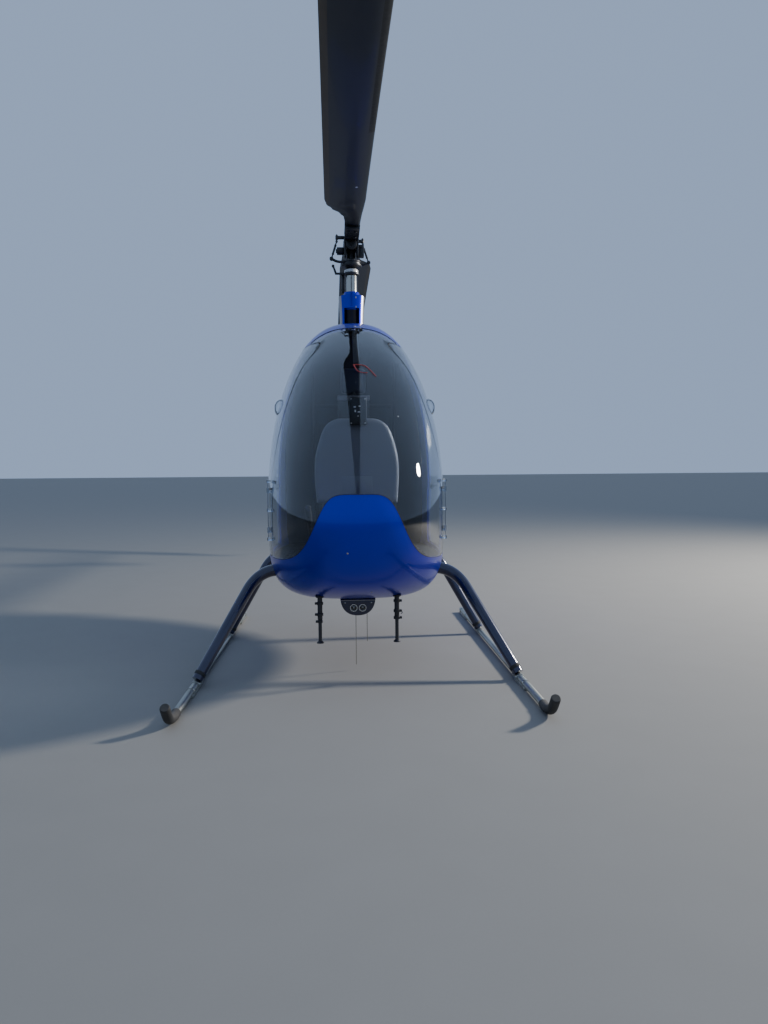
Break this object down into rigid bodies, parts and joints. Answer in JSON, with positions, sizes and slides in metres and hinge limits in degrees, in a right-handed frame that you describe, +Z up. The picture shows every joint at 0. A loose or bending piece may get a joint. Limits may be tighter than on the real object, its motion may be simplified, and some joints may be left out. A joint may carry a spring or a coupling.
{
  "type": "helicopter",
  "caption": "Light tandem-seat helicopter with a clear bubble canopy, seesaw rotor, slim tail boom and bowed skid landing gear.",
  "frame": {"origin": "on the ground, under the middle of the whole machine's box", "axes": "+Z up, -Y towards the nose, +X to port"},
  "size_m": [1.468, 6.9515, 2.345],
  "materials": {
    "blue_paint": "gloss cobalt blue",
    "navy_paint": "gloss dark blue",
    "clear_acrylic": "clear, slightly smoky",
    "pale_grey": "satin light grey",
    "black_plastic": "satin black",
    "cushion": "dark navy woven cover",
    "bare_steel": "bright bare metal",
    "casting": "cast, dull",
    "lamp_lens": "clear lamp glass",
    "black_rubber": "dull black cap",
    "black_metal": "satin black",
    "blade_paint": "satin dark grey"
  },
  "bodies": {
    "airframe": {"lower_hull": "blue_paint", "windshield": "clear_acrylic", "roof_panel": "blue_paint", "aft_cowl": "blue_paint", "cabin_floor": "black_plastic", "bulkhead": "black_plastic", "instrument_pod": "pale_grey", "instrument_display": "black_plastic", "pilot_seat": "cushion", "passenger_seat": "cushion", "headrest": "cushion", "cyclic_stick": "black_plastic", "collective_lever": "black_plastic", "pedals": "bare_steel", "engine_block": "casting", "exhaust": "bare_steel", "lamp_pod": "navy_paint", "lamp_starboard": "lamp_lens", "lamp_port": "lamp_lens", "long_whip": "bare_steel", "short_whip": "bare_steel", "front_leg_tube": "navy_paint", "rear_leg_tube": "navy_paint", "hinge_strip_port": "bare_steel", "hinge_strip_starboard": "bare_steel", "skid_port": "bare_steel", "skid_starboard": "bare_steel", "toe_cap_port": "black_rubber", "toe_cap_starboard": "black_rubber", "belly_post_port": "black_metal", "belly_post_starboard": "black_metal", "mast_housing": "blue_paint", "mast_fairing": "blue_paint", "control_plate": "black_metal", "tail_boom": "blue_paint", "stabiliser": "blue_paint", "tail_gearbox": "casting", "tail_fin": "blue_paint", "tail_bumper": "bare_steel"},
    "door_port": {"door_frame_port": "clear_acrylic", "door_pane_port": "clear_acrylic"},
    "door_starboard": {"door_frame_starboard": "clear_acrylic", "door_pane_starboard": "clear_acrylic"},
    "main_rotor": {"mast_tube": "bare_steel", "swashplate": "black_metal", "pitch_link_a": "black_metal", "pitch_link_b": "black_metal"},
    "seesaw_head": {"rotor_head": "black_metal", "blade_forward": "blade_paint", "blade_aft": "blade_paint"},
    "tail_rotor": {"tail_rotor": "blade_paint"}
  },
  "joints": [
    {"name": "door_port_hinge", "type": "hinge", "parent": "airframe", "child": "door_port", "pos_m": [0.402, -1.494, 0.77], "axis": [0, 0, -1], "range_deg": [0, 75]},
    {"name": "door_starboard_hinge", "type": "hinge", "parent": "airframe", "child": "door_starboard", "pos_m": [-0.402, -1.494, 0.77], "axis": [0, 0, 1], "range_deg": [0, 75]},
    {"name": "main_rotor_spin", "type": "hinge", "parent": "airframe", "child": "main_rotor", "pos_m": [0, -0.375, 2], "axis": [0, 0, 1], "continuous": true},
    {"name": "rotor_seesaw", "type": "hinge", "parent": "main_rotor", "child": "seesaw_head", "pos_m": [0, -0.375, 2.241], "axis": [0.9999, 0.0122, 0], "range_deg": [-5, 5]},
    {"name": "tail_rotor_spin", "type": "hinge", "parent": "airframe", "child": "tail_rotor", "pos_m": [0.15, 3.215, 1.17], "axis": [1, 0, 0], "continuous": true}
  ],
  "couplings": [
    {"joint": "tail_rotor_spin", "follows": "main_rotor_spin", "ratio": 5.4}
  ]
}
